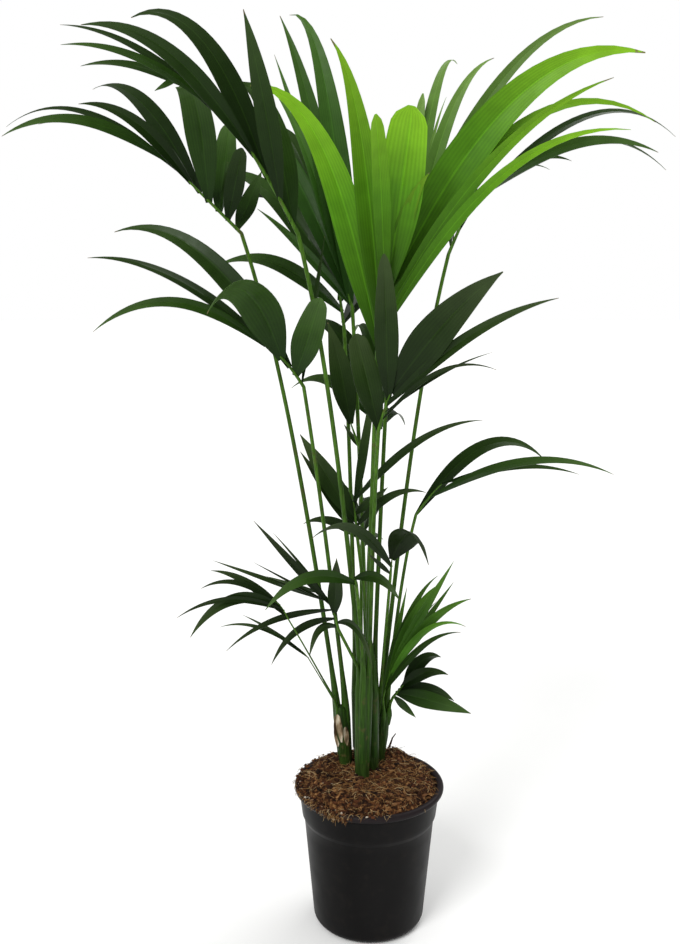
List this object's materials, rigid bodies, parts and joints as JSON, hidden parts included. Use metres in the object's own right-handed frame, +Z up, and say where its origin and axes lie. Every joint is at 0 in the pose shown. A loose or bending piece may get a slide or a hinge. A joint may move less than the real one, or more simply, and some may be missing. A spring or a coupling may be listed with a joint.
{
  "type": "potted kentia palm",
  "caption": "Clump of arching palm fronds on upright green stalks, growing in a round black nursery pot that stands on the floor.",
  "frame": {"origin": "middle of the pot's underside, at floor level", "axes": "+Z up, +X to the right and +Y to the back as the plant is seen from its front"},
  "size_m": [1.2389, 0.8975, 1.4998],
  "materials": {
    "pot": "near-black moulded nursery plastic, satin",
    "soil": "moist brown coir potting mix, matt",
    "stem": "green leaf bases wrapped round the stem, satin",
    "stalk": "smooth green leaf stalk, satin",
    "frond_bright": "bright green leaf blade, satin",
    "frond_fresh": "fresh green leaf blade, satin",
    "frond_pale": "pale green leaf blade, satin",
    "frond_mid": "mid green leaf blade, satin",
    "frond_deep": "deep green leaf blade, satin",
    "frond_dark": "dark green leaf blade, satin"
  },
  "bodies": {
    "root": {"pot": "pot", "soil": "soil", "stem_left": "stem", "stem_front": "stem", "stem_back": "stem", "stem_right": "stem", "stem_rear": "stem", "stalk_upper_left": "stalk", "frond_upper_left": "frond_deep", "stalk_top_left": "stalk", "frond_top_left": "frond_deep", "stalk_crown_back": "stalk", "frond_crown_back": "frond_mid", "stalk_lime": "stalk", "frond_lime": "frond_bright", "stalk_pale_right": "stalk", "frond_pale_right": "frond_pale", "stalk_right_high": "stalk", "frond_right_high": "frond_deep", "stalk_mid_left": "stalk", "frond_mid_left": "frond_deep", "stalk_mid_right": "stalk", "frond_mid_right": "frond_dark", "stalk_mid_back": "stalk", "frond_mid_back": "frond_dark", "stalk_mid_dark": "stalk", "frond_mid_dark": "frond_dark", "stalk_right_low": "stalk", "frond_right_low": "frond_deep", "stalk_curl_right": "stalk", "frond_curl_right": "frond_dark", "stalk_front_low": "stalk", "frond_front_low": "frond_deep", "stalk_lower_left": "stalk", "frond_lower_left": "frond_dark", "stalk_thin_left": "stalk", "frond_thin_left": "frond_dark", "stalk_thread_left": "stalk", "frond_thread_left": "frond_dark", "stalk_lower_bright": "stalk", "frond_lower_bright": "frond_fresh", "stalk_lower_dark": "stalk", "frond_lower_dark": "frond_deep", "stalk_back_high": "stalk", "frond_back_high": "frond_deep", "stalk_back_mid": "stalk", "frond_back_mid": "frond_deep", "stalk_back_low": "stalk", "frond_back_low": "frond_dark"}
  },
  "joints": []
}
